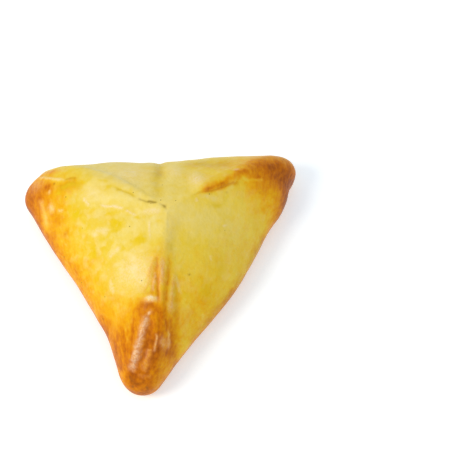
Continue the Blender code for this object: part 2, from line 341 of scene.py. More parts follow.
# The pinched front corner, baked the darkest, with folds that run down to its tip: painted highlights lie on
# the folds' crests, and painted shade in the pits by the tip.
NOSE: tuple[Feature, ...] = (
    Spot((-2.5, -38), (4.5, 6), bake=0.08),
    Spot((-10, -40), (4.5, 4), bake=0.08),
    Streak(((-1.5, -38), (-1.6, -46), (-4, -58)), 2.8, bake=0.15),
    Streak(((-7.4, -40), (-9.4, -48), (-11.6, -54.5), (-14.6, -61)), 2.2, fade=5, height=0.55),
    # painted highlights: the long glint along the left fold's crest, a small one beside it and one at its
    # top
    Streak(
        ((-7.6, -41.6), (-8.6, -45.5), (-9.8, -49), (-11, -54), (-12, -57.5), (-14.4, -61)),
        1.15, fade=2, wander=0.25, height=0.1, bare_and_highlight=0.38,
    ),
    Streak(((-11.8, -52), (-12.4, -55), (-13.4, -57.6)), 0.5, fade=1.5, wander=0.2, height=0.05, bare_and_highlight=0.2),
    Spot((-6.9, -41.2), (1, 0.5), turn=35, height=0.1, bake=-0.1, bare_and_highlight=0.45),
    Streak(((-5.8, -40), (-6.8, -48), (-9.4, -60)), 1.5, fade=5, height=-0.5, bake=0.08),
    # painted highlights on the smaller folds to the right
    Streak(
        ((-3.6, -48.2), (-4.1, -52.2), (-5.1, -55.4)),
        0.45, fade=1.4, wander=0.1, height=0.12, bake=-0.22, bare_and_highlight=0.2,
    ),
    Spot((-1.4, -50.9), (1.4, 1.7), turn=-10, height=0.05, bake=-0.12, bare_and_highlight=0.16),
    Streak(((-2.8, -40), (-2.6, -46), (-3.2, -49)), 0.9, fade=3, height=-0.3, bake=0.06),
    Streak(((-6.4, -53.6), (-7.4, -57), (-9, -61.4)), 1.2, fade=1.5, height=0.3, bake=-0.16, bare_and_highlight=0.08),
    Streak(((-7.8, -54.4), (-6.4, -54.2), (-5.2, -54.8)), 0.4, fade=1, bake=-0.1, bare_and_highlight=0.1),
    # a fold line and two pits by the tip, darkened with painted shade, and a pale fold between them
    Streak(
        ((-15.6, -61), (-13.5, -63.4), (-10.5, -64.4), (-7.5, -64)),
        0.4, fade=1.5, wander=0.3, height=-0.06, bake=0.06, painted_shade=0.12,
    ),
    Streak(
        ((-11.5, -62), (-9, -62.8), (-5.6, -62)),
        0.5, fade=1.2, wander=0.3, height=0.2, bake=-0.06, bare_and_highlight=0.04,
    ),
    Spot((-12.8, -65.2), (0.4, 0.3), height=-0.1, bake=0.1, painted_shade=0.5),
    Spot((-7.6, -65.4), (0.4, 0.3), height=-0.1, bake=0.1, painted_shade=0.4),
    Spot((-1.8, -56.5), (2.5, 4), bake=-0.07),
    Streak(((-16.4, -43), (-15.6, -48), (-15.2, -52)), 0.5, fade=3, height=0.05, bake=-0.1),
    Streak(((-18, -46), (-17.4, -52), (-16.6, -57)), 0.5, fade=3, height=0.05, bake=-0.09),
    Streak(((-13.2, -40), (-13, -46), (-13.6, -52)), 0.6, fade=3, height=-0.1, bake=0.1),
    Streak(((-21, -48), (-19.5, -54), (-17, -61)), 1.2, fade=3, bake=0.12),
)

# The left corner and the lower edge that it shares with the left panel.
LEFT_CORNER: tuple[Feature, ...] = (
    # pale crest, amber patches and the strokes round them: the crest and the pale strokes are painted
    # highlights, and a dark dash and a pit are painted shade
    Streak(
        ((-56, 25.8), (-53.1, 24.6), (-49.8, 22.9), (-46.6, 21.1), (-41, 18.6)),
        0.55, fade=5, height=0.25, bake=-0.12, bare_and_highlight=0.36,
    ),
    Streak(((-54.5, 18.4), (-50, 18.6), (-46, 19.4)), 1.8, fade=3, bake=0.08),
    Spot((-49.2, 19), (1.8, 1.4), bake=0.12),
    Spot((-54.5, 21.5), (3, 2.6), turn=-20, bake=0.04, bare_and_highlight=0.12),
    Spot((-46.8, 18.8), (0.45, 0.4), height=-0.1, bake=0.1, painted_shade=0.6),
    Streak(((-55, 17), (-52.5, 15), (-50.5, 15.6)), 1.2, fade=2, bake=0.06),
    Spot((-49, 26.6), (3.5, 1.4), turn=-15, bake=0.22, bare_and_highlight=0.1),
    Streak(((-46, 15.4), (-40, 16.4), (-37, 15.6), (-32.4, 14.8)), 2, fade=3, bake=0.28, yolk=0.5),
    Spot((-41, 16.4), (5.6, 1.9), bake=0.12, yolk=0.3),
    Spot((-45, 14), (1, 0.8), bake=0.04, yolk=0.6),
    Spot((-30, 9), (0.9, 0.7), yolk=0.5),
    Spot((-39.5, 8.6), (1.2, 0.7), turn=30, bake=0.04, yolk=0.5),
    Streak(
        ((-43, 19.6), (-40, 19.4), (-37, 18.4)),
        0.6, fade=1.5, wander=0.2, height=-0.1, bake=0.08, painted_shade=0.24,
    ),
    Streak(((-49.4, 17.2), (-48.2, 14.4)), 0.5, fade=1.5, height=0.05, bake=-0.1, bare_and_highlight=0.3),
    Streak(((-49.2, 12), (-48, 9.6), (-46.8, 7)), 1.1, fade=2.5, height=0.1, bake=-0.14, bare_and_highlight=0.34),
    Streak(((-45.6, 7.9), (-42.2, 6.6)), 0.4, fade=1.2, height=0.05, bake=-0.06, bare_and_highlight=0.36),
    Streak(
        ((-54, 15.4), (-52.4, 13), (-50.8, 8), (-49.4, 3)),
        0.9, fade=3, height=0.1, bake=-0.14, bare_and_highlight=0.12,
    ),
    # the browned lower edge, from this corner to the front one
    Streak(((-60, 16), (-51.8, 3), (-43.4, -13), (-32.4, -34), (-22, -56)), 1.3, fade=3, bake=0.14),
    Spot((-41.2, -2), (1, 1.3), bake=0.16, painted_shade=0.06),
    Spot((-36.4, 3.6), (2, 1.5), turn=-15, bake=0.12, yolk=1),
    Spot((-45, 2), (3, 4), bake=0.08),
    Spot((-17.5, -44), (3, 6), bake=0.08),
    Spot((-24, -36), (6, 7), turn=40, bake=0.03),
    Spot((-16.5, -49), (5, 6), turn=-25, bake=0.12),
)

# The left panel: dabs of thick wash, and pale strokes and a broad pale patch, where the wash ran thin and
# painted highlights lie on it.
LEFT_PANEL: tuple[Feature, ...] = (
    Spot((-23, 0), (5, 5), bake=0.07),
    Spot((-38, 19), (7, 7), bake=0.09),
    Spot((-6, -4), (5, 4), bake=-0.07),
    Spot((-10.5, -12.2), (2.3, 2.9), turn=10, bake=0.08, yolk=1),
    Spot((-21.4, -3.6), (3.2, 2), turn=-15, bake=0.1, yolk=0.9),
    Spot((-20.5, -6.6), (2, 0.9), bake=0.04, yolk=0.7),
    Spot((-3.6, -5.5), (1.5, 1), yolk=0.5),
    Spot((-12.4, -2.6), (1.6, 0.6), turn=-30, yolk=0.6),
    Spot((-26.5, 12.2), (4.2, 1.1), turn=-5, bake=0.05, yolk=0.7),
    Spot((-26.5, 15.3), (3, 0.6), turn=-25, bake=0.03, yolk=0.6),
    Spot((-38.5, 10.5), (1.9, 1.4), bake=0.04, yolk=0.9),
    Spot((-21, -27), (1.2, 2), turn=20, yolk=0.5),
    Spot((-18, -14), (1, 1.4), turn=-20, yolk=0.5),
    Spot((-24, 1.4), (4, 1.7), turn=5, bake=0.06, yolk=0.7),
    Spot((-28.8, -12.7), (1.8, 2.6), turn=15, bake=0.16, yolk=0.8),
    Streak(
        ((-32.6, -17), (-30, -20), (-27, -24.6), (-24, -31)),
        1.1, fade=3, wander=0.3, bake=0.11, yolk=0.6,
    ),
    Streak(
        ((-23.2, -24), (-22, -27.5), (-20.8, -31)),
        0.7, fade=2, wander=0.2, height=0.05, bake=-0.08, bare_and_highlight=0.26,
    ),
    Spot((-24, -20), (4, 3), turn=-30, bake=-0.06, yolk=0.2),
    Streak(((-34.3, 10), (-33.4, 8), (-31.4, 5.4)), 0.6, fade=1.5, height=0.05, bake=-0.08, bare_and_highlight=0.45),
    Streak(((-28, 4.9), (-21, 3.2), (-17.2, 1.6)), 0.5, fade=2, height=0.08, bake=-0.05, bare_and_highlight=0.5),
    Streak(((-17.6, 1.4), (-14.4, -0.6), (-12.4, -2)), 0.55, fade=1.5, height=0.08, bake=-0.03, bare_and_highlight=0.4),
    Streak(((-11, -1.2), (-6, -0.8), (-2, -1.6)), 1, fade=2, height=0.05, bare_and_highlight=0.3),
    Streak(((-7.1, -3.5), (-7.2, -8), (-6.7, -13)), 0.45, fade=3, height=0.1, bare_and_highlight=0.35),
    Streak(((-31, -6.8), (-27, -5.4), (-22.8, -6.6)), 1.2, fade=2, height=0.06, bake=-0.12, bare_and_highlight=0.3),
    Streak(((-24, -17.5), (-21, -14.8), (-17.8, -13)), 0.8, fade=2, height=0.06, bake=-0.08, bare_and_highlight=0.3),
    Spot((-13.3, -23.7), (7.3, 6.1), turn=20, bake=-0.14, bare_and_highlight=0.34),
    Spot((-9.4, -29.5), (3, 3.5), bake=-0.1, bare_and_highlight=0.2),
    Spot((-32, 11), (6, 3), turn=-15, bake=-0.06, bare_and_highlight=0.15),
)

# The right corner and the right panel.
RIGHT_PANEL: tuple[Feature, ...] = (
    # the lap's browned face, and the corner's skin below it
    Streak(((11.5, 8.4), (16, 9.8), (20.5, 12.4), (25, 15)), 1, fade=2.5, bake=0.14),
    Streak(((12.5, 9.8), (18, 12), (24, 15.8), (30, 20)), 1.7, fade=3, bake=0.24),
    Spot((15.6, 9.8), (2, 0.8), turn=15, bake=0.14, painted_shade=0.03),
    Spot((21, 12.8), (1.8, 0.8), turn=35, bake=0.14, painted_shade=0.02),
    Streak(((25, 21), (29, 20.4), (33, 21.6)), 1.7, fade=2.5, bake=0.2),
    Streak(((29, 17.6), (36, 17.6), (41, 14)), 3, bake=0.07),
    Spot((35, 23.6), (6, 4.5), turn=20, bake=0.14),
    Spot((41, 28), (7, 4), bake=0.12),
    Streak(((28.6, 17.6), (33, 18.4), (38.5, 20.8)), 0.5, fade=2, height=0.15, bake=-0.14),
    # the lower edge, browned and darkened with painted shade, and paler skin above it
    Streak(
        ((50, 23), (47.6, 16.5), (43.6, 9), (39.4, 1.5), (36.4, -3.5)),
        1.9, fade=5, bake=0.24, painted_shade=0.11,
    ),
    Streak(((41, 5), (36, -4), (29.8, -17), (20.4, -31), (8, -48)), 1.3, fade=6, bake=0.14, painted_shade=0.3),
    Streak(((29, -17), (24.4, -25), (19, -33)), 0.9, fade=7, bake=0.14),
    Spot((42, 17), (4, 6), bake=-0.11),
    Spot((27, -3), (7, 14), turn=-25, bake=-0.04, bare_and_highlight=0.06),
    # the right panel's spots and dashes: lemon spots, pits darkened with painted shade, and pale dashes of
    # painted highlight
    Spot((18.6, 4.6), (1.7, 1), turn=15, painted_shade=0.1, yolk=1),
    Spot((12, 6), (6, 3), turn=10, bake=0.06),
    Spot((1.4, -16), (0.8, 1.4), painted_shade=0.08, yolk=0.5),
    Spot((5.5, -12), (1.6, 3), yolk=0.5),
    Spot((12, -12), (5, 2.4), turn=15, yolk=0.5),
    Spot((20, -17), (2, 5), bake=0.03, painted_shade=0.03, yolk=0.4),
    Spot((15, -28), (2.4, 3.6), bake=0.05, painted_shade=0.04, yolk=0.5),
    Spot((7, -32), (1.4, 1), painted_shade=0.04, yolk=0.5),
    Spot((23, 10.6), (0.5, 0.4), height=-0.05, bake=0.1, painted_shade=0.3),
    Spot((36.3, 14.5), (0.4, 0.4), height=-0.05, bake=0.1, painted_shade=0.35),
    Spot((8.4, -24.5), (0.4, 0.35), turn=40, height=-0.08, bake=0.1, painted_shade=0.6),
    Spot((22.2, -2.3), (0.6, 0.45), turn=20, height=0.05, bare_and_highlight=0.4),
    Streak(((16.7, -15), (16.7, -17.4)), 0.35, fade=0.8, height=0.04, bare_and_highlight=0.3),
    Streak(((10.6, 6), (11.4, 3.8)), 0.5, fade=0.8, height=0.05, bare_and_highlight=0.4),
    Spot((16, 7), (3.2, 0.9), turn=5, bake=-0.05, painted_shade=0.04, bare_and_highlight=0.2),
)

# The back panel's lobes, on both sides of its crease: pale painted highlights on their tops, and painted
# shade in the hollow between them.
BACK_PANEL: tuple[Feature, ...] = (
    Spot((2.4, 21), (3.6, 4.6), turn=15, height=0.5, bake=-0.04, bare_and_highlight=0.2),
    Spot((7, 18), (1.6, 2.6), turn=15, bake=0.04, painted_shade=0.02, yolk=0.7),
    Spot((10, 27), (4, 3.6), bake=0.05, painted_shade=0.08, yolk=0.5),
    Spot((11, 15.6), (3.2, 4.2), turn=20, height=0.45, bake=-0.1, bare_and_highlight=0.4),
    Streak(((6, 31), (9, 27), (12, 23.4)), 2.2, fade=3, height=-0.1, bake=0.08, painted_shade=0.06),
    Streak(((10, 29), (17, 27), (26, 28.4)), 2.6, height=-0.3, painted_shade=0.1),
    Spot((22, 26), (7, 4), turn=10, bake=0.03, painted_shade=0.06, yolk=0.3),
    Spot((26.8, 21.6), (1.2, 0.5), turn=10, height=0.05, bare_and_highlight=0.4),
    Spot((-15, 20), (8, 6), height=0.6, bake=-0.06, bare_and_highlight=0.24),
    Spot((-11, 24), (7, 6), bake=0.07),
    Spot((15, 15.5), (3, 3), bake=0.1),
)

# ---------------------------------------------------------------- form


@dataclass(frozen=True)
class Corner:
    """A corner of the pie, seen from above: a disc that touches its tip.

    Fullness is the exponent of its seam's fall from the peak, and bend moves the seam's middle
    sideways. Brown is how dark the corner bakes, from a share of the way down its seam on.
    """

    tip: Plan
    radius: float
    fullness: float
    bend: float
    brown: float
    brown_from: float


@dataclass(frozen=True)
class Swelling:
    """A stretch of one side that stands out at the waist, or is drawn in where depth is negative."""

    side: Side
    at: float
    reach: float
    depth: float


@dataclass(frozen=True)
class Panel:
    """A panel between two seams: how full it is, and how its lower edge browns."""

    fullness: float
    brown: float
    brown_from: float


@dataclass
class Form:
    """The smooth pie before its relief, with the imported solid's own sizes, in millimetres."""

    corners: tuple[Corner, ...] = (
        Corner((53.8, 3.8), 7.8, 1.62, 0.8, brown=0.12, brown_from=0.55),
        Corner((-56.0, -5.2), 11.8, 1.62, -4.1, brown=0.14, brown_from=0.60),
        Corner((-7.8, -98.4), 7.9, 1.31, 1.5, brown=0.16, brown_from=0.45),
    )
    panels: tuple[Panel, ...] = (
        Panel(1.48, brown=0.06, brown_from=0.90),
        Panel(1.28, brown=0.36, brown_from=0.25),
        Panel(1.26, brown=0.20, brown_from=0.40),
    )
    swellings: tuple[Swelling, ...] = (
        Swelling(Side.BACK, 0.25, 13, 1.0),
        Swelling(Side.BACK, 0.75, 13, 1.4),
        Swelling(Side.LEFT, 0.15, 12, 0.5),
        Swelling(Side.LEFT, 0.54, 28, -2.4),
        Swelling(Side.LEFT, 0.77, 8, -2.3),
        Swelling(Side.RIGHT, 0.50, 30, 4.2),
        Swelling(Side.RIGHT, 0.89, 7, 0.8),
        Swelling(Side.RIGHT, 1.00, 5, -1.7),
    )
    peak_at: tuple[float, float, float] = (2.7, -32.0, 36.5)
    waist_height: float = 9.0
    waist_fullness: float = 1.85
    underside_inset: float = 5.0
    corner_reach: float = 16.0        # how far along the outline a corner's sizes reach
    corner_crowding: float = 1.2      # how much closer the columns of points stand there
    top_share: float = 0.80           # share of the rows of points from the peak to the waist
    edge_share: float = 0.15          # share of them round the lower edge
    outline_steps: int = 60           # points of the outline to each corner and to each side
    tray_brown: float = 0.38          # how much the hot tray browns the underside
    tray_reach: float = 2.0           # how far above the waist it still does
    outline: np.ndarray = field(init=False)
    swelling: np.ndarray = field(init=False)
    marks: np.ndarray = field(init=False)
    tips: np.ndarray = field(init=False)
    turns: np.ndarray = field(init=False)
    peak: np.ndarray = field(init=False)

    def __post_init__(self) -> None:
        """Draw the outline, swell its sides, and bring the middle of its box to the origin."""
        self.outline, self.marks, self.tips, sides = self.band_round_corners()
        offset = np.zeros(len(self.marks))
        for swelling in self.swellings:
            start, end = sides[swelling.side.value]
            centre = start + (end - start) * swelling.at
            offset += swelling.depth * bump(self.distance_round(self.marks, centre), swelling.reach)
        along = unit(np.roll(self.outline[:-1], -1, axis=0) - np.roll(self.outline[:-1], 1, axis=0))
        along = np.vstack((along, along[:1]))
        self.swelling = np.stack((along[:, 1], -along[:, 0]), axis=1) * offset[:, None]
        waist = self.outline + self.swelling
        middle = (waist.min(axis=0) + waist.max(axis=0)) / 2
        self.outline = self.outline - middle
        self.peak = np.array(self.peak_at) - (*middle, 0)
        crowd = 1 + self.corner_crowding * np.max(self.nearness(self.marks), axis=0)
        steps = np.diff(self.marks) * (crowd[1:] + crowd[:-1]) / 2
        self.turns = np.concatenate(([0], np.cumsum(steps)))
        self.turns /= self.turns[-1]

    @staticmethod
    def side_normal(
        centre_a: np.ndarray, radius_a: float, centre_b: np.ndarray, radius_b: float
    ) -> np.ndarray:
        """Find which way the straight side between two corner discs faces.

        Args:
            centre_a: The centre of the disc that comes first, going anticlockwise.
            radius_a: Its radius.
            centre_b: The next disc's centre.
            radius_b: Its radius.

        Returns:
            The outward normal of the tangent that runs outside both.
        """
        along = centre_b - centre_a
        length = np.linalg.norm(along)
        along = along / length
        lean = (radius_a - radius_b) / length
        return np.array((along[1], -along[0])) * math.sqrt(1 - lean * lean) + along * lean

    def band_round_corners(self) -> tuple[np.ndarray, np.ndarray, np.ndarray, np.ndarray]:
        """Run a band round the three corner discs.

        Returns:
            The band's points, their distances along it, the distance of each corner's tip, and
            the two distances at which each straight side starts and ends.
        """
        tips = np.array([corner.tip for corner in self.corners])
        radii = [corner.radius for corner in self.corners]
        centres = tips + unit(tips.mean(axis=0) - tips) * np.array(radii)[:, None]
        steps = self.outline_steps
        following = (1, 2, 0)
        normals = [
            self.side_normal(centres[k], radii[k], centres[n], radii[n])
            for k, n in enumerate(following)
        ]
        points, tip_index, side_index = [], [], []
        for k, n in enumerate(following):
            start = math.atan2(normals[k - 1][1], normals[k - 1][0])
            turn = (math.atan2(normals[k][1], normals[k][0]) - start) % (2 * math.pi)
            tip_index.append(len(points) + steps // 2)
            for angle in np.linspace(start, start + turn, steps + 1):
                points.append(centres[k] + radii[k] * np.array((math.cos(angle), math.sin(angle))))
            side_index.append((len(points) - 1, len(points) - 1 + steps))
            side_end = centres[n] + radii[n] * normals[k]
            points.extend(np.linspace(points[-1], side_end, steps + 1)[1:-1])
        points.append(points[0])
        outline = np.array(points)
        marks = np.concatenate(([0], np.cumsum(np.linalg.norm(np.diff(outline, axis=0), axis=1))))
        return outline, marks, marks[tip_index], marks[np.array(side_index)]

    def distance_round(self, marks: np.ndarray, mark: float) -> np.ndarray:
        """Distance along the outline from marks on it to one of them, the shorter way."""
        ahead = (marks - mark) % self.marks[-1]
        return np.minimum(ahead, self.marks[-1] - ahead)

    def nearness(self, marks: np.ndarray) -> list[np.ndarray]:
        """How near marks on the outline are to each corner's tip: one at the tip, else less."""
        return [bump(self.distance_round(marks, tip), self.corner_reach) for tip in self.tips]

    def along_outline(self, marks: np.ndarray, values: np.ndarray) -> np.ndarray:
        """Values on the outline, read at marks on it."""
        return np.stack([np.interp(marks, self.marks, values[:, axis]) for axis in (0, 1)], axis=1)

    def blend(self, marks: np.ndarray, name: str) -> np.ndarray:
        """Blend a size of the panels into that of the corners.

        Args:
            marks: Marks on the outline.
            name: The size's name, which panels and corners share.

        Returns:
            The blended size at each mark.
        """
        nearness = self.nearness(marks)
        side = np.searchsorted(self.tips, marks, side="right") - 1
        of_panels = np.array([getattr(panel, name) for panel in self.panels])
        at_corners = sum(near * getattr(corner, name) for near, corner in zip(nearness, self.corners))
        return of_panels[side] * (1 - sum(nearness)) + at_corners

    def place(self, turn: np.ndarray, row: np.ndarray) -> tuple[np.ndarray, np.ndarray, np.ndarray]:
        """Positions on the pie.

        Args:
            turn: Fractions of a turn round the pie.
            row: Fractions of the way from the peak, over the waist, to the underside's middle.

        Returns:
            The positions, the marks on the outline that they point to, and how far out from the
            peak towards the waist they lie.
        """
        marks = np.interp(turn % 1.0, self.turns, self.marks)
        climb = np.clip(row / self.top_share, 0, 1) * math.pi / 2
        tuck = np.clip((row - self.top_share) / self.edge_share, 0, 1) * math.pi / 2
        under = 1 - self.top_share - self.edge_share
        inwards = np.clip((row - self.top_share - self.edge_share) / under, 0, 1)
        fullness = self.blend(marks, "fullness")
        out = np.sin(climb) ** (2 / fullness)
        rise = np.maximum(np.cos(climb), 0) ** (2 / self.waist_fullness)
        arm = self.along_outline(marks, self.outline) - self.peak[:2]
        outward = unit(arm)
        sideways = np.stack((-outward[:, 1], outward[:, 0]), axis=1)
        bend = sum(near * corner.bend for near, corner in zip(self.nearness(marks), self.corners))
        plan = self.peak[:2] + arm * out[:, None]
        plan += self.along_outline(marks, self.swelling) * out[:, None] ** 2
        plan += sideways * (bend * np.sin(math.pi * out) ** 2)[:, None]
        plan -= outward * (self.underside_inset * (1 - np.cos(tuck)))[:, None]
        plan += (self.peak[:2] - plan) * inwards[:, None]
        height = self.waist_height * (1 - np.sin(tuck)) + (self.peak[2] - self.waist_height) * rise
        return np.column_stack((plan, height)), marks, out

    def browning(self, marks: np.ndarray, out: np.ndarray, height: np.ndarray) -> np.ndarray:
        """How brown each place bakes for where it lies: the rims, the corners and the underside.

        Args:
            marks: Marks on the outline that the places point to.
            out: How far out the places lie, from the peak to the waist.
            height: Their heights above the underside.

        Returns:
            The browning, to which the marks on the crust are added.
        """
        brown = self.blend(marks, "brown")
        start = self.blend(marks, "brown_from")
        low = ramp(1 - height / (self.waist_height + self.tray_reach))
        return brown * ramp((out - start) / (1 - start)) + self.tray_brown * low


@dataclass(frozen=True)
class Swell:
    """Unevenness of the dough: the size of its swells, and how far they stand out."""

    size: float
    height: float


# ---------------------------------------------------------------- finishes

Tree = bpy.types.NodeTree
Socket = bpy.types.NodeSocket

MULTIPLY = {"operation": "MULTIPLY"}
MULTIPLY_ADD = {"operation": "MULTIPLY_ADD"}


def add(tree: Tree, kind: str, settings: dict | None = None, **inputs: object) -> bpy.types.Node:
    """Add a node with its settings, and link or set its inputs.

    Args:
        tree: The node tree.
        kind: The node's Blender type.
        settings: Values of the node's own properties, by name.
        **inputs: Each input's socket to link from, or its value. An input is named as Blender
            names it with spaces as underscores, or by its place as in input_1.

    Returns:
        The new node.
    """
    node = tree.nodes.new(kind)
    for name, value in (settings or {}).items():
        setattr(node, name, value)
    for name, value in inputs.items():
        numbered = name.startswith("input_")
        place = int(name.removeprefix("input_")) if numbered else name.replace("_", " ")
        if isinstance(value, Socket):
            tree.links.new(value, node.inputs[place])
        else:
            node.inputs[place].default_value = value
    return node


@dataclass(frozen=True)
class Pattern:
    """Soft noise on the crust: its real size in millimetres, its octaves and how strong it is."""

    size_mm: float
    octaves: float
    strength: float
    octave_share: float = 0.55        # how strong each octave is beside the last

    def inputs(self, place: Socket) -> dict[str, object]:
        """Work out what a noise texture needs to draw the pattern.

        Args:
            place: Positions on the crust.

        Returns:
            The texture's inputs, by name.
        """
        return {
            "Vector": place,
            "Scale": 1 / (self.size_mm * MM),
            "Detail": self.octaves,
            "Roughness": self.octave_share,
        }


@dataclass(frozen=True)
class EggWashedCrust:
    """Bread dough brushed with beaten egg and baked in an oven.

    The egg sets to a thin, glossy yellow skin, which browns first on rims, folds and corners. It
    is uneven at every scale: the brush leaves thick golden patches and thin pale strokes. Painted
    highlights and painted shade lie over it where the crust's mesh stores them.
    """

    # from pale dough to crust that is nearly burnt
    bake_colours: tuple[tuple[float, str], ...] = (
        (0.00, "EEDC92"),
        (0.18, "EBD26C"),
        (0.34, "EACB48"),
        (0.48, "EABD2C"),
        (0.60, "E8A70C"),
        (0.72, "DE8D04"),
        (0.84, "C66E04"),
        (1.00, "9A4C08"),
    )
    yolk_colour: str = "E4C21A"
    missed_colour: str = "F2E09A"
    # pale floury dough, and the painted highlights
    bare_and_highlight_colour: str = "F6DEBA"
    # the colour of the painted shade
    painted_shade_colour: str = "8A6E2C"
    speck_colour: str = "6E5520"
    base_bake: float = 0.17
    base_brush: float = 0.3
    roughness: float = 0.38
    bare_roughness: float = 0.5
    dough_shine: float = 0.03         # the dough's own specular level
    wash_weight: float = 0.10         # the egg wash, as a clear coat
    wash_roughness: float = 0.16
    wash_ior: float = 1.45            # dried egg
    # patches that browned more or less, the brush's strokes, and the flour's own unevenness, drawn
    # coarse enough to show
    uneven: tuple[Pattern, ...] = (
        Pattern(11.0, 2.0, 0.308),
        Pattern(4.0, 2.0, 0.308),
        Pattern(1.3, 3.0, 0.168),
    )
    evenness: float = 0.6             # how much of that the darkest crust has lost
    thick_dabs: Pattern = Pattern(7.0, 1.6, 0.50)    # dabs of thick wash
    thin_dabs: Pattern = Pattern(5.5, 1.6, 0.32)     # places that the brush missed
    thick_marks: Pattern = Pattern(3.4, 1.6, 0.26)   # the bristles' own marks, thick and thin
    thin_marks: Pattern = Pattern(2.7, 1.6, 0.18)
    dab_edge: Span = (0.50, 0.66)     # the noise over which a dab's edge rises
    dab_fade: Span = (0.45, 0.75)     # the browning over which dabs die away
    # fine wrinkles of the skin, which run from back to front and show where it is brown
    wrinkles: Pattern = Pattern(1.4, 3.0, 0.085)
    wrinkle_span: Span = (0.3, 0.7)
    wrinkle_stretch: tuple[float, float, float] = (1.0, 0.4, 1.0)
    # flakes of the wash, where it is thin and catches the light: they break up the bare dough and the
    # painted highlights
    flakes: Pattern = Pattern(0.8, 2.0, 0.5)
    flake_span: Span = (0.35, 0.65)
    # dents and pores finer than the mesh, as strong as they are deep in millimetres
    bumps: tuple[Pattern, ...] = (Pattern(2.2, 2.0, 0.24), Pattern(0.9, 3.0, 0.14))
    # burnt specks of flour
    speck_spacing_mm: float = 7.0
    speck_radius: Span = (0.03, 0.05)   # a speck's core and rim, as shares of the spacing
    speck_strength: float = 0.6

    def make(self) -> bpy.types.Material:
        """Make the material.

        Returns:
            The material, which reads the crust's tints.
        """
        material = bpy.data.materials.new("egg_washed_bread_crust")
        material.use_nodes = True
        tree = material.node_tree
        shader = tree.nodes["Principled BSDF"]
        place = add(tree, "ShaderNodeTexCoord").outputs["Object"]
        tints = {
            tint: add(tree, "ShaderNodeAttribute", {"attribute_name": tint.value}).outputs["Fac"]
            for tint in Tint
        }
        bake = self.bake(tree, place, tints[Tint.BAKE])
        rough = add(
            tree, "ShaderNodeMapRange", Value=tints[Tint.BARE_AND_HIGHLIGHT],
            To_Min=self.roughness, To_Max=self.bare_roughness,
        ).outputs["Result"]
        tree.links.new(self.colour(tree, place, bake, tints), shader.inputs["Base Color"])
        tree.links.new(rough, shader.inputs["Roughness"])
        tree.links.new(self.relief(tree, place), shader.inputs["Normal"])
        shader.inputs["Specular IOR Level"].default_value = self.dough_shine
        shader.inputs["Coat Weight"].default_value = self.wash_weight
        shader.inputs["Coat Roughness"].default_value = self.wash_roughness
        shader.inputs["Coat IOR"].default_value = self.wash_ior
        return material

    def bake(self, tree: Tree, place: Socket, tint: Socket) -> Socket:
        """Make the browning uneven, less so where it is brown, and wrinkle the brown skin.

        Args:
            tree: The material's node tree.
            place: Positions on the crust.
            tint: The stored browning.

        Returns:
            The browning that the colour follows.
        """
        uneven: Socket | float = -sum(pattern.strength for pattern in self.uneven) / 2
        for pattern in self.uneven:
            swell = add(tree, "ShaderNodeTexNoise", **pattern.inputs(place)).outputs["Fac"]
            uneven = add(
                tree, "ShaderNodeMath", MULTIPLY_ADD,
                input_0=swell, input_1=pattern.strength, input_2=uneven,
            ).outputs[0]
        along = add(tree, "ShaderNodeMapping", Vector=place, Scale=self.wrinkle_stretch).outputs["Vector"]
        folds = add(tree, "ShaderNodeTexNoise", **self.wrinkles.inputs(along)).outputs["Fac"]
        wrinkle = add(
            tree, "ShaderNodeMapRange", Value=folds,
            From_Min=self.wrinkle_span[0], From_Max=self.wrinkle_span[1],
            To_Min=-self.wrinkles.strength, To_Max=self.wrinkles.strength,
        ).outputs["Result"]
        hold = add(tree, "ShaderNodeMath", MULTIPLY_ADD, input_0=tint, input_1=-self.evenness, input_2=1.0)
        browned = tint
        for what, share in ((uneven, hold.outputs[0]), (wrinkle, tint)):
            browned = add(
                tree, "ShaderNodeMath", MULTIPLY_ADD, input_0=what, input_1=share, input_2=browned
            ).outputs[0]
        return browned

    def dabs(
        self, tree: Tree, place: Socket, pattern: Pattern, shown: Socket, stored: Socket | float = 0.0
    ) -> Socket:
        """Draw dabs with soft edges.

        Args:
            tree: The material's node tree.
            place: Positions on the crust.
            pattern: The dabs' pattern.
            shown: How much of the brush's work shows.
            stored: A stored tint that the dabs are added to.

        Returns:
            How strongly the dabs and the tint colour the crust.
        """
        dab = add(
            tree, "ShaderNodeMapRange", {"interpolation_type": "SMOOTHSTEP"},
            Value=add(tree, "ShaderNodeTexNoise", **pattern.inputs(place)).outputs["Fac"],
            From_Min=self.dab_edge[0], From_Max=self.dab_edge[1], To_Max=pattern.strength,
        ).outputs["Result"]
        return add(
            tree, "ShaderNodeMath", {**MULTIPLY_ADD, "use_clamp": True},
            input_0=dab, input_1=shown, input_2=stored,
        ).outputs[0]

    def flaked(self, tree: Tree, place: Socket, tint: Socket) -> Socket:
        """Break the bare places and the painted highlights up into flakes.

        Args:
            tree: The material's node tree.
            place: Positions on the crust.
            tint: The stored bareness and painted highlights.

        Returns:
            How strongly bare dough and the painted highlights show.
        """
        flakes = add(
            tree, "ShaderNodeMapRange",
            Value=add(tree, "ShaderNodeTexNoise", **self.flakes.inputs(place)).outputs["Fac"],
            From_Min=self.flake_span[0], From_Max=self.flake_span[1],
            To_Min=1 - self.flakes.strength, To_Max=1 + self.flakes.strength,
        ).outputs["Result"]
        return add(tree, "ShaderNodeMath", MULTIPLY, input_0=tint, input_1=flakes).outputs[0]

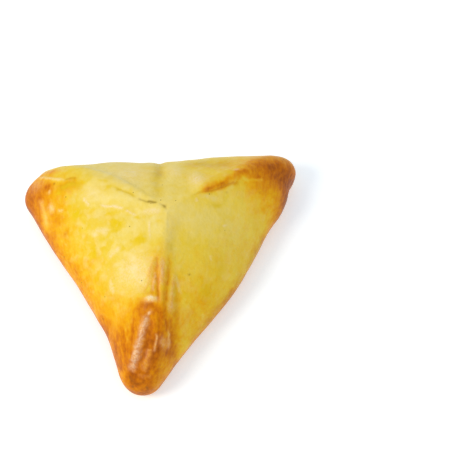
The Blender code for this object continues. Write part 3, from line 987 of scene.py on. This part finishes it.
    def specks(self, tree: Tree, place: Socket) -> Socket:
        """Draw the specks.

        Args:
            tree: The material's node tree.
            place: Positions on the crust.

        Returns:
            How strongly the specks show.
        """
        cells = add(tree, "ShaderNodeTexVoronoi", Vector=place, Scale=1 / (self.speck_spacing_mm * MM))
        return add(
            tree, "ShaderNodeMapRange", Value=cells.outputs["Distance"],
            From_Min=self.speck_radius[1], From_Max=self.speck_radius[0], To_Max=self.speck_strength,
        ).outputs["Result"]

    def colour(self, tree: Tree, place: Socket, bake: Socket, tints: dict[Tint, Socket]) -> Socket:
        """Colour the crust by its browning, then lay the wash, the bare dough and painted highlights, the
        painted shade and the specks on it.

        Args:
            tree: The material's node tree.
            place: Positions on the crust.
            bake: The browning.
            tints: What the mesh stores.

        Returns:
            The colour.
        """
        scale = add(tree, "ShaderNodeValToRGB", Fac=bake)
        stops = scale.color_ramp.elements
        while len(stops) < len(self.bake_colours):
            stops.new(0.5)
        for stop, (at, code) in zip(stops, self.bake_colours):
            stop.position = at
            stop.color = linear(code)
        colour = scale.outputs["Color"]
        pale = add(
            tree, "ShaderNodeMapRange", Value=bake, From_Min=self.dab_fade[1], From_Max=self.dab_fade[0]
        ).outputs["Result"]
        shown = add(tree, "ShaderNodeMath", MULTIPLY, input_0=pale, input_1=tints[Tint.BRUSH]).outputs[0]
        for share, code in (
            (self.dabs(tree, place, self.thick_dabs, shown, tints[Tint.YOLK]), self.yolk_colour),
            (self.dabs(tree, place, self.thin_dabs, shown), self.missed_colour),
            (self.dabs(tree, place, self.thick_marks, shown), self.yolk_colour),
            (self.dabs(tree, place, self.thin_marks, shown), self.missed_colour),
            # bare dough and painted highlights, then painted shade
            (self.flaked(tree, place, tints[Tint.BARE_AND_HIGHLIGHT]), self.bare_and_highlight_colour),
            (tints[Tint.PAINTED_SHADE], self.painted_shade_colour),
            (self.specks(tree, place), self.speck_colour),
        ):
            colour = add(
                tree, "ShaderNodeMix", {"data_type": "RGBA"},
                Factor=share, input_6=colour, input_7=linear(code),
            ).outputs[2]
        return colour

    def relief(self, tree: Tree, place: Socket) -> Socket:
        """Raise the skin's dents and pores.

        Args:
            tree: The material's node tree.
            place: Positions on the crust.

        Returns:
            The surface's normal.
        """
        under: dict[str, Socket] = {}
        for pattern in self.bumps:
            height = add(tree, "ShaderNodeTexNoise", **pattern.inputs(place)).outputs["Fac"]
            raised = add(
                tree, "ShaderNodeBump", Height=height, Distance=pattern.strength * MM, **under
            )
            under = {"Normal": raised.outputs["Normal"]}
        return under["Normal"]


@dataclass(frozen=True)
class WhiteCard:
    """Smooth uncoated white card: matt, with no grain to see.

    Its faint glow stands for a bright table that shines through it, and keeps it white all over.
    """

    colour: str = "F1F1F1"
    roughness: float = 0.9
    shine: float = 0.2
    glow: float = 0.33
    glow_colour: str = "EAFBFF"

    def make(self) -> bpy.types.Material:
        """Make the material.

        Returns:
            The material.
        """
        material = bpy.data.materials.new("matt_white_card")
        material.use_nodes = True
        shader = material.node_tree.nodes["Principled BSDF"]
        shader.inputs["Base Color"].default_value = linear(self.colour)
        shader.inputs["Roughness"].default_value = self.roughness
        shader.inputs["Specular IOR Level"].default_value = self.shine
        shader.inputs["Emission Color"].default_value = linear(self.glow_colour)
        shader.inputs["Emission Strength"].default_value = self.glow
        return material


# ---------------------------------------------------------------- sub-assemblies


@dataclass
class Crust:
    """The baked crust: the whole pie, as nothing inside it shows."""

    name: str = "sfiha_crust"
    node: str = "sfiha"
    body: str = "root"
    slot: str = "crust"
    columns: int = 400
    rows: int = 240
    form: Form = field(default_factory=Form)
    swells: tuple[Swell, ...] = (Swell(15, 0.5), Swell(6, 0.18), Swell(2.6, 0.05))
    ragged: Swell = Swell(2.4, 0.5)             # how unevenly the tints end
    ragged_starts: tuple[float, ...] = (17, 41)  # where in the noise that starts, for x and for y
    # crests that rose round and soft: the left seam's and the front seam's
    worn: tuple[Streak, ...] = (
        Streak(((-44, 22), (-26.8, 19.5), (-20, 15.2), (-13, 9), (-6, 3), (0, 0)), 2.6),
        Streak(((1, 0), (0.9, -5), (0.2, -12), (-1.2, -20), (-2, -26)), 2.0),
    )
    worn_rounds: int = 80
    features: tuple[Feature, ...] = (
        OVEN_ZONES + SHAPE + SEAMS + PLEATS + NOSE + LEFT_CORNER + LEFT_PANEL + RIGHT_PANEL + BACK_PANEL
    )
    finish: EggWashedCrust = field(default_factory=EggWashedCrust)

    def build(self) -> bpy.types.Object:
        """Build the crust's mesh and store its tints.

        Returns:
            The crust's object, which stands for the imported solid.
        """
        ball = bmesh.new()
        bmesh.ops.create_uvsphere(ball, u_segments=self.columns, v_segments=self.rows, radius=1)
        mesh = bpy.data.meshes.new(self.name)
        ball.to_mesh(mesh)
        ball.free()
        flat = np.empty(len(mesh.vertices) * 3, np.float32)
        mesh.vertices.foreach_get("co", flat)
        points = flat.reshape(-1, 3).astype(float)
        turn = np.arctan2(points[:, 1], points[:, 0]) / (2 * math.pi)
        row = np.arccos(np.clip(points[:, 2], -1, 1)) / math.pi
        places, marks, out = self.form.place(turn, row)
        mesh.vertices.foreach_set("co", (places * MM).astype(np.float32).ravel())
        mesh.update()
        mesh.vertices.foreach_get("normal", flat)
        normals = flat.reshape(-1, 3).astype(float)
        above_floor = ramp(places[:, 2] / self.form.waist_height)
        places = places + normals * (self.relief(places) * above_floor)[:, None]
        places = self.wear(mesh, places)
        mesh.vertices.foreach_set("co", (places * MM).astype(np.float32).ravel())
        mesh.shade_smooth()
        self.paint(mesh, places, marks, out)
        return bpy.data.objects.new(self.name, mesh)

    def relief(self, places: np.ndarray) -> np.ndarray:
        """How far the surface stands out from the smooth form.

        Args:
            places: Places on the smooth form, in millimetres.

        Returns:
            The distance at each place.
        """
        plan = places[:, :2] - self.form.peak[:2]
        total = sum(f.height * f.weight(plan) for f in self.features if f.height)
        for swell in self.swells:
            total += swell.height * self.noise(places, swell.size)
        return total

    def wear(self, mesh: bpy.types.Mesh, places: np.ndarray) -> np.ndarray:
        """Round the worn crests, by moving each of their points towards its neighbours' middle.

        Args:
            mesh: The crust's mesh, for which points are neighbours.
            places: Its points, in millimetres.

        Returns:
            The points, worn.
        """
        pairs = np.empty(len(mesh.edges) * 2, np.int32)
        mesh.edges.foreach_get("vertices", pairs)
        ends, others = np.concatenate((pairs.reshape(-1, 2), pairs.reshape(-1, 2)[:, ::-1])).T
        count = np.bincount(ends)[:, None]
        plan = places[:, :2] - self.form.peak[:2]
        share = np.clip(sum(streak.weight(plan) for streak in self.worn), 0, 1)[:, None]
        for _ in range(self.worn_rounds):
            sums = [np.bincount(ends, weights=places[others, axis]) for axis in range(3)]
            places = places + share * (np.column_stack(sums) / count - places)
        return places

    @staticmethod
    def noise(places: np.ndarray, size: float, shift: float = 0.0) -> np.ndarray:
        """Smooth noise between about minus one and one, of a size in millimetres."""
        offset = Vector((shift, shift, shift))
        return np.array([noise.noise(Vector(place / size) + offset) for place in places])

    def paint(
        self, mesh: bpy.types.Mesh, places: np.ndarray, marks: np.ndarray, out: np.ndarray
    ) -> None:
        """Store the tints at each point of the mesh.

        Args:
            mesh: The crust's mesh.
            places: Its points, in millimetres.
            marks: The marks on the outline that they point to.
            out: How far out they lie.
        """
        plan = places[:, :2] - self.form.peak[:2]
        stray = [self.noise(places, self.ragged.size, start) for start in self.ragged_starts]
        plan = plan + np.column_stack(stray) * self.ragged.height
        above = ramp(places[:, 2] / self.form.waist_height)
        tints = {tint: np.zeros(len(places)) for tint in Tint}
        for feature in self.features:
            weight = feature.weight(plan) * above
            for tint, values in tints.items():
                values += getattr(feature, tint.value) * weight
        tints[Tint.BRUSH] += self.finish.base_brush
        tints[Tint.BAKE] += self.finish.base_bake + self.form.browning(marks, out, places[:, 2])
        for tint, values in tints.items():
            layer = mesh.attributes.new(tint.value, "FLOAT", "POINT")
            layer.data.foreach_set("value", np.clip(values, 0, 1).astype(np.float32))

    def dress(self, piece: bpy.types.Object) -> None:
        """Give the crust its finish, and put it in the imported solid's place.

        Args:
            piece: The crust's object.
        """
        piece.data.materials.append(self.finish.make())
        bpy.context.scene.collection.objects.link(piece)
        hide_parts(self.node)
        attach(piece, self.body)


@dataclass
class Studio:
    """A white card on a table, a broad lamp to the left of the camera, and a bright white room.

    Its sizes and places are in metres, and its angles are in degrees.
    """

    floor_size: float = 6.0
    floor_finish: WhiteCard = field(default_factory=WhiteCard)
    room_light: float = 0.77
    room_colour: str = "F1F6FF"
    lamp_at: tuple[float, float, float] = (-0.60, -0.26, 0.68)
    lamp_size: float = 0.42
    lamp_watts: float = 4.2
    lamp_colour: str = "FFF5E4"
    target: tuple[float, float, float] = (0.0270, 0.0226, 0.0060)
    distance: float = 0.60
    elevation: float = 60.0
    view_angle: float = 17.7

    def build(self) -> None:
        """Lay the floor, hang the lamp, light the room and set up the camera."""
        scene = bpy.context.scene
        scene.view_settings.view_transform = "Standard"
        self.lay_floor()
        self.hang_lamp()
        world = bpy.data.worlds.new("white_room")
        world.use_nodes = True
        background = world.node_tree.nodes["Background"]
        background.inputs["Color"].default_value = linear(self.room_colour)
        background.inputs["Strength"].default_value = self.room_light
        scene.world = world
        scene.camera = self.set_camera()

    def lay_floor(self) -> None:
        """Lay the white card under the pie."""
        board = bmesh.new()
        bmesh.ops.create_grid(board, x_segments=1, y_segments=1, size=self.floor_size / 2)
        mesh = bpy.data.meshes.new("floor")
        board.to_mesh(mesh)
        board.free()
        floor = bpy.data.objects.new("floor", mesh)
        floor.data.materials.append(self.floor_finish.make())
        bpy.context.scene.collection.objects.link(floor)

    def hang_lamp(self) -> None:
        """Hang the broad lamp, turned to the pie."""
        lamp = bpy.data.lights.new("broad_lamp", "AREA")
        lamp.shape = "DISK"
        lamp.size = self.lamp_size
        lamp.energy = self.lamp_watts
        lamp.color = linear(self.lamp_colour)[:3]
        holder = bpy.data.objects.new("broad_lamp", lamp)
        holder.location = self.lamp_at
        holder.rotation_euler = (-Vector(self.lamp_at)).to_track_quat("-Z", "Y").to_euler()
        bpy.context.scene.collection.objects.link(holder)

    def set_camera(self) -> bpy.types.Object:
        """Stand the camera in front of the pie, looking down on it.

        Returns:
            The camera's object.
        """
        eye = bpy.data.cameras.new("camera")
        eye.angle = math.radians(self.view_angle)
        angle = math.radians(self.elevation)
        back = Vector((0, -math.cos(angle), math.sin(angle)))
        camera = bpy.data.objects.new("camera", eye)
        camera.location = Vector(self.target) + back * self.distance
        camera.rotation_euler = (-back).to_track_quat("-Z", "Y").to_euler()
        bpy.context.scene.collection.objects.link(camera)
        return camera


def main() -> None:
    """Build the studio and the pie."""
    logging.basicConfig(level=logging.INFO, format="%(name)s: %(message)s")
    Studio().build()
    crust = Crust()
    piece = crust.build()
    crust.dress(piece)
    LOG.info("%s has %d faces", piece.name, len(piece.data.polygons))


if __name__ == "__main__":
    main()
